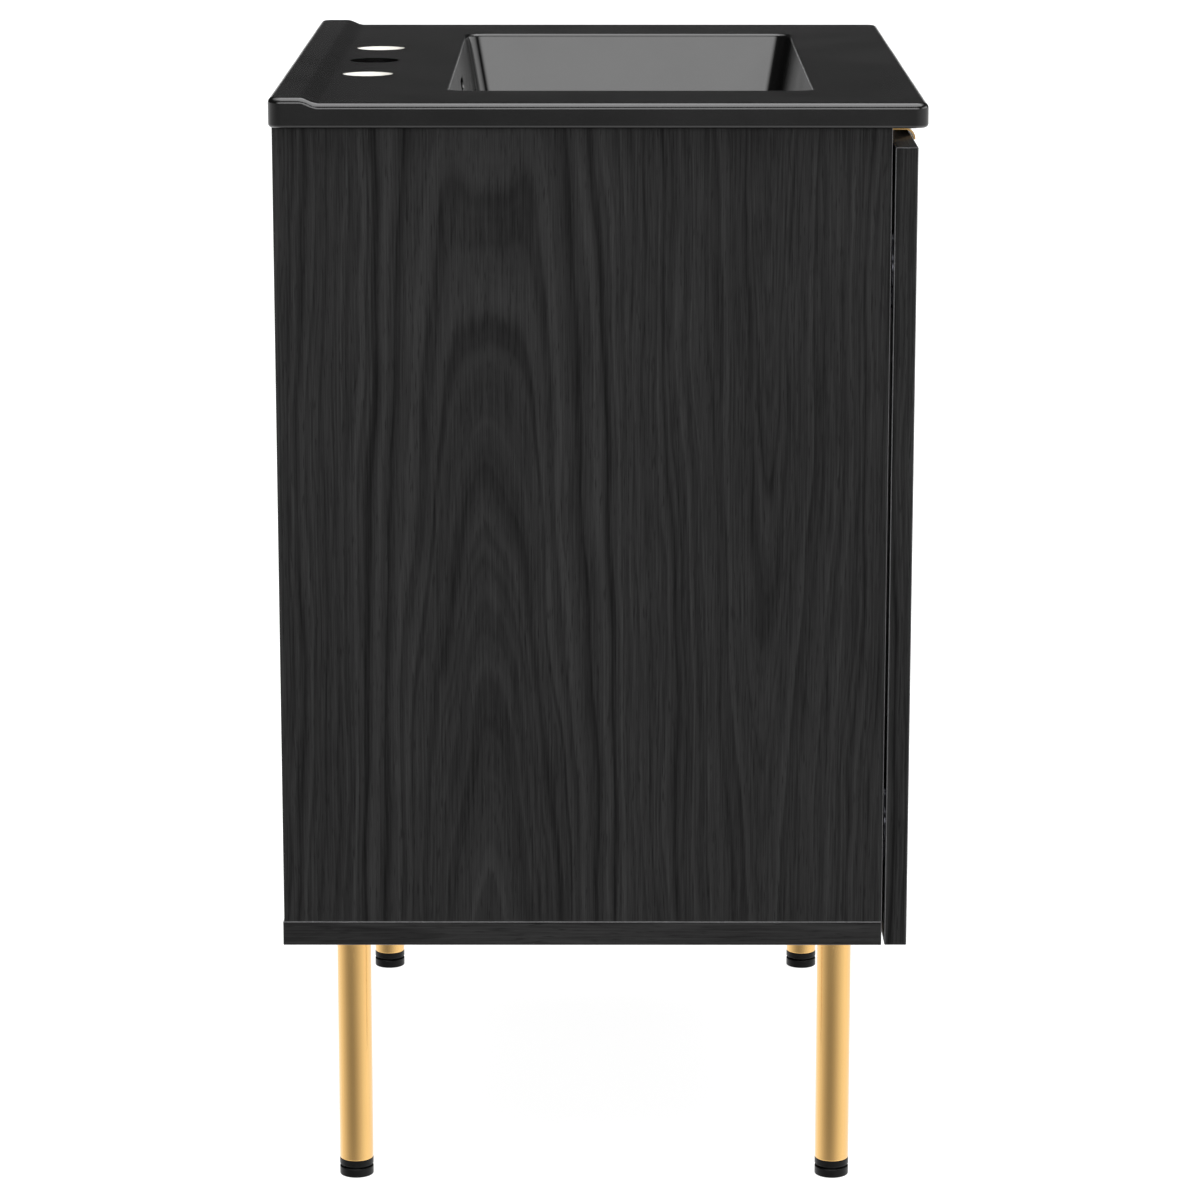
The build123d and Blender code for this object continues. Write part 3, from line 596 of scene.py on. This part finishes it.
def studio_world():
    """White to the camera. Every other ray meets a surround that is added up by direction.

    Below the horizon there are lighter and darker bands that follow the heading, brighter straight
    down. A bright low strip stands at the left (-X), and one at six tenths of its strength at the
    front (-Y). From the horizon up the rest is nearly black, and it is bright overhead.
    """
    middle_level, strip_level, top_level, down_level = 0.032, 6.0, 2.6, 1.1
    world = bpy.data.worlds.new("studio")
    world.use_nodes = True
    bpy.context.scene.world = world
    tree = world.node_tree
    tree.nodes.clear()
    x, y, z = add(tree, "SeparateXYZ", [add(tree, "TexCoord").outputs["Generated"]]).outputs

    # The bands follow 1 - 0.42 cos(turn) - 0.22 cos(2 turn), where turn is the heading from the
    # left side towards the front, plus 20 degrees.
    to_front = add(tree, "Math", [y, -1.0], operation="MULTIPLY")
    to_left = add(tree, "Math", [x, -1.0], operation="MULTIPLY")
    heading = add(tree, "Math", [to_front, to_left], operation="ARCTAN2")
    turn = add(tree, "Math", [heading, math.radians(20)], operation="ADD")
    once = add(tree, "Math", [turn], operation="COSINE")
    twice = add(tree, "Math", [turn, 2.0], operation="MULTIPLY")
    twice = add(tree, "Math", [twice], operation="COSINE")
    bands = add(tree, "Math", [once, -0.42, 1.0], operation="MULTIPLY_ADD")
    bands = add(tree, "Math", [twice, -0.22, bands], operation="MULTIPLY_ADD")

    def ramp(value, start, stop, low, high):
        """A smooth step from low at start to high at stop."""
        steps = [value, start, stop, low, high]
        return add(tree, "MapRange", steps, interpolation_type="SMOOTHSTEP")

    left = ramp(x, -0.95, -0.70, 1.0, 0.0)
    front = ramp(y, -0.95, -0.70, 1.0, 0.0)
    sides = add(tree, "Math", [front, 0.6, left], operation="MULTIPLY_ADD")
    strip_low = ramp(z, 0.05, 0.11, 0.0, 1.0)
    strip_high = ramp(z, 0.34, 0.50, 1.0, 0.0)
    strip = add(tree, "Math", [strip_low, strip_high], operation="MULTIPLY")
    strip = add(tree, "Math", [strip, sides], operation="MULTIPLY")
    above = ramp(z, -0.02, 0.06, 0.0, 1.0)
    top = ramp(z, 0.62, 0.86, 0.0, 1.0)
    under = ramp(z, -0.45, -0.8, 0.0, down_level)

    ground = add(tree, "Math", [bands, under], operation="ADD")
    full = add(tree, "Mix", {FACTOR: above, NUMBER_A: ground, NUMBER_B: middle_level})
    full = add(tree, "Math", [strip, strip_level, full], operation="MULTIPLY_ADD")
    full = add(tree, "Math", [top, top_level, full], operation="MULTIPLY_ADD")
    seen = add(tree, "LightPath").outputs["Is Camera Ray"]
    strength = add(tree, "Mix", {FACTOR: seen, NUMBER_A: full, NUMBER_B: 1.0})
    surround = add(tree, "Background", [(1.0, 1.0, 1.0, 1.0), strength])
    add(tree, "OutputWorld", [surround])


def softbox():
    """A square area light above the object, turned to its middle."""
    data = bpy.data.lights.new("overhead", "AREA")
    data.shape = "RECTANGLE"
    data.size = data.size_y = SOFTBOX_SIDE
    data.energy = SOFTBOX_WATTS
    light = bpy.data.objects.new("overhead", data)
    light.location = SOFTBOX_PLACE
    aim = Vector(SOFTBOX_TARGET) - Vector(SOFTBOX_PLACE)
    light.rotation_euler = aim.to_track_quat("-Z", "Y").to_euler()
    bpy.context.scene.collection.objects.link(light)


def camera():
    """At the left of the object, looking down at it on a long lens."""
    data = bpy.data.cameras.new("camera")
    data.sensor_width = SENSOR_MM
    data.lens = LENS_MM
    data.clip_end = FAR_CLIP
    made = bpy.data.objects.new("camera", data)
    made.location = CAMERA_PLACE
    down, aside = math.radians(CAMERA_DOWN), math.radians(CAMERA_ASIDE)
    level = math.cos(down)
    ahead = Vector((level * math.cos(aside), level * math.sin(aside), -math.sin(down)))
    made.rotation_euler = ahead.to_track_quat("-Z", "Y").to_euler()
    bpy.context.scene.collection.objects.link(made)
    bpy.context.scene.camera = made


studio_floor()
studio_world()
softbox()
camera()
bpy.context.scene.view_settings.view_transform = "Standard"
